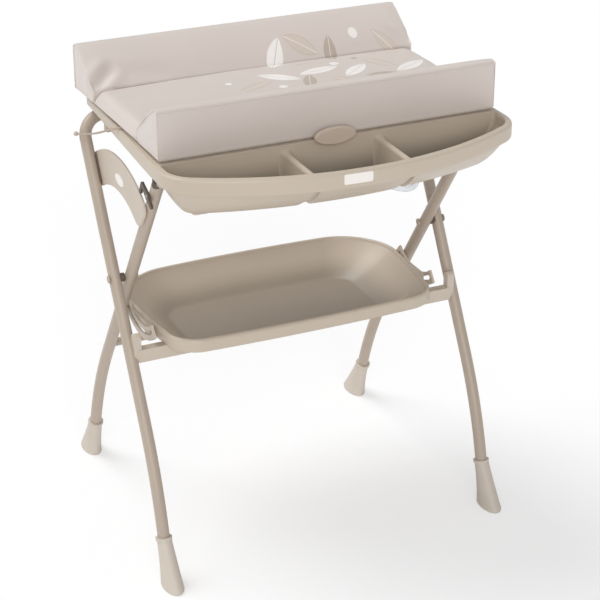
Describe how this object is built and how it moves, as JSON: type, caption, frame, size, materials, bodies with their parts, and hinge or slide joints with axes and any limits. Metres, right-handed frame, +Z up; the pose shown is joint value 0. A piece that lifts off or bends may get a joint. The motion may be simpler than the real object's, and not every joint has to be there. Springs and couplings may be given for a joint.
{
  "type": "folding baby changing table with bathtub",
  "caption": "Folding scissor-leg changing table: padded mat with raised wedge bolsters hinged over a moulded baby bath with front pockets, and a storage tray between the legs.",
  "frame": {"origin": "floor level, under the centre of the whole object's box", "axes": "+Z up, front with the accessory pockets towards -Y, +X to the right seen from the front"},
  "size_m": [0.788, 0.782, 1.0082],
  "materials": {
    "tub_plastic": "semi-gloss moulded plastic, warm taupe",
    "frame_paint": "satin powder coat, warm taupe",
    "foot_plastic": "satin moulded plastic",
    "plate_plastic": "satin moulded plastic",
    "dark_plastic": "matte dark brown plastic",
    "fitting_plastic": "satin pale plastic",
    "label_plastic": "smooth pale plastic, bare",
    "steel": "zinc plated",
    "board_plastic": "matte moulded board",
    "mat_vinyl": "soft wipe-clean coated fabric, welded seams",
    "catch_plastic": "satin plastic, darker taupe",
    "hose_vinyl": "translucent soft vinyl",
    "elastic_cord": "woven elastic cord"
  },
  "bodies": {
    "tub": {"tub_shell": "tub_plastic", "left_slide_rail": "tub_plastic", "right_slide_rail": "tub_plastic", "cross_tube_clips": "tub_plastic", "clip_screws": "steel", "drain_fitting": "fitting_plastic", "drain_nut": "fitting_plastic", "drain_hose": "hose_vinyl", "hose_clip": "tub_plastic", "label_plate": "label_plastic", "mat_hinge_brackets": "tub_plastic", "hinge_pins": "steel", "left_elastic": "elastic_cord", "right_elastic": "elastic_cord", "elastic_balls": "catch_plastic"},
    "front_frame": {"left_front_leg": "frame_paint", "right_front_leg": "frame_paint", "rear_cross_tube": "frame_paint", "left_front_foot": "foot_plastic", "right_front_foot": "foot_plastic", "left_side_plate": "plate_plastic", "right_side_plate": "plate_plastic", "side_plate_seats": "dark_plastic", "side_plate_rivets": "steel", "side_badges": "label_plastic", "scissor_pins": "frame_paint", "scissor_spacers": "dark_plastic", "storage_tray": "tub_plastic", "left_tray_guide": "plate_plastic", "right_tray_guide": "plate_plastic", "left_tray_arm": "plate_plastic", "right_tray_arm": "plate_plastic"},
    "rear_frame": {"left_rear_leg": "frame_paint", "right_rear_leg": "frame_paint", "leg_brace": "frame_paint", "left_rear_foot": "foot_plastic", "right_rear_foot": "foot_plastic", "glide_pads": "dark_plastic", "guide_pins": "steel", "latch_pins": "steel"},
    "left_latch": {"left_latch": "dark_plastic"},
    "right_latch": {"right_latch": "dark_plastic"},
    "mat": {"mat_board": "board_plastic", "mat_pad": "mat_vinyl", "front_bolster": "mat_vinyl", "back_bolster": "mat_vinyl", "mat_badge": "label_plastic", "mat_hinge_leaves": "board_plastic", "catch_mount": "board_plastic", "catch_pin": "steel"},
    "mat_catch": {"mat_catch": "catch_plastic"},
    "drain_plug": {"drain_plug": "fitting_plastic"}
  },
  "joints": [
    {"name": "tub_tilt", "type": "hinge", "parent": "tub", "child": "front_frame", "pos_m": [0, 0.19534, 0.86602], "axis": [1, 0, 0], "range_deg": [0, 23]},
    {"name": "frame_fold", "type": "hinge", "parent": "front_frame", "child": "rear_frame", "pos_m": [0, 0.028, 0.575], "axis": [-1, 0, 0], "range_deg": [0, 46]},
    {"name": "left_latch_lift", "type": "hinge", "parent": "rear_frame", "child": "left_latch", "pos_m": [-0.354, -0.13724, 0.81453], "axis": [1, 0, 0], "range_deg": [0, 20], "stiffness_Nm_per_rad": 0.2},
    {"name": "right_latch_lift", "type": "hinge", "parent": "rear_frame", "child": "right_latch", "pos_m": [0.354, -0.13724, 0.81453], "axis": [1, 0, 0], "range_deg": [0, 20], "stiffness_Nm_per_rad": 0.2},
    {"name": "mat_flip", "type": "hinge", "parent": "tub", "child": "mat", "pos_m": [0, 0.252, 0.9], "axis": [-1, 0, 0], "range_deg": [0, 100]},
    {"name": "catch_pull", "type": "hinge", "parent": "mat", "child": "mat_catch", "pos_m": [0, -0.2135, 0.9175], "axis": [-1, 0, 0], "range_deg": [0, 25], "stiffness_Nm_per_rad": 0.2},
    {"name": "plug_lift", "type": "slide", "parent": "tub", "child": "drain_plug", "axis": [0, 0, 1], "range_m": [0, 0.012]}
  ],
  "couplings": [
    {"joint": "tub_tilt", "follows": "frame_fold", "ratio": 0.5}
  ]
}
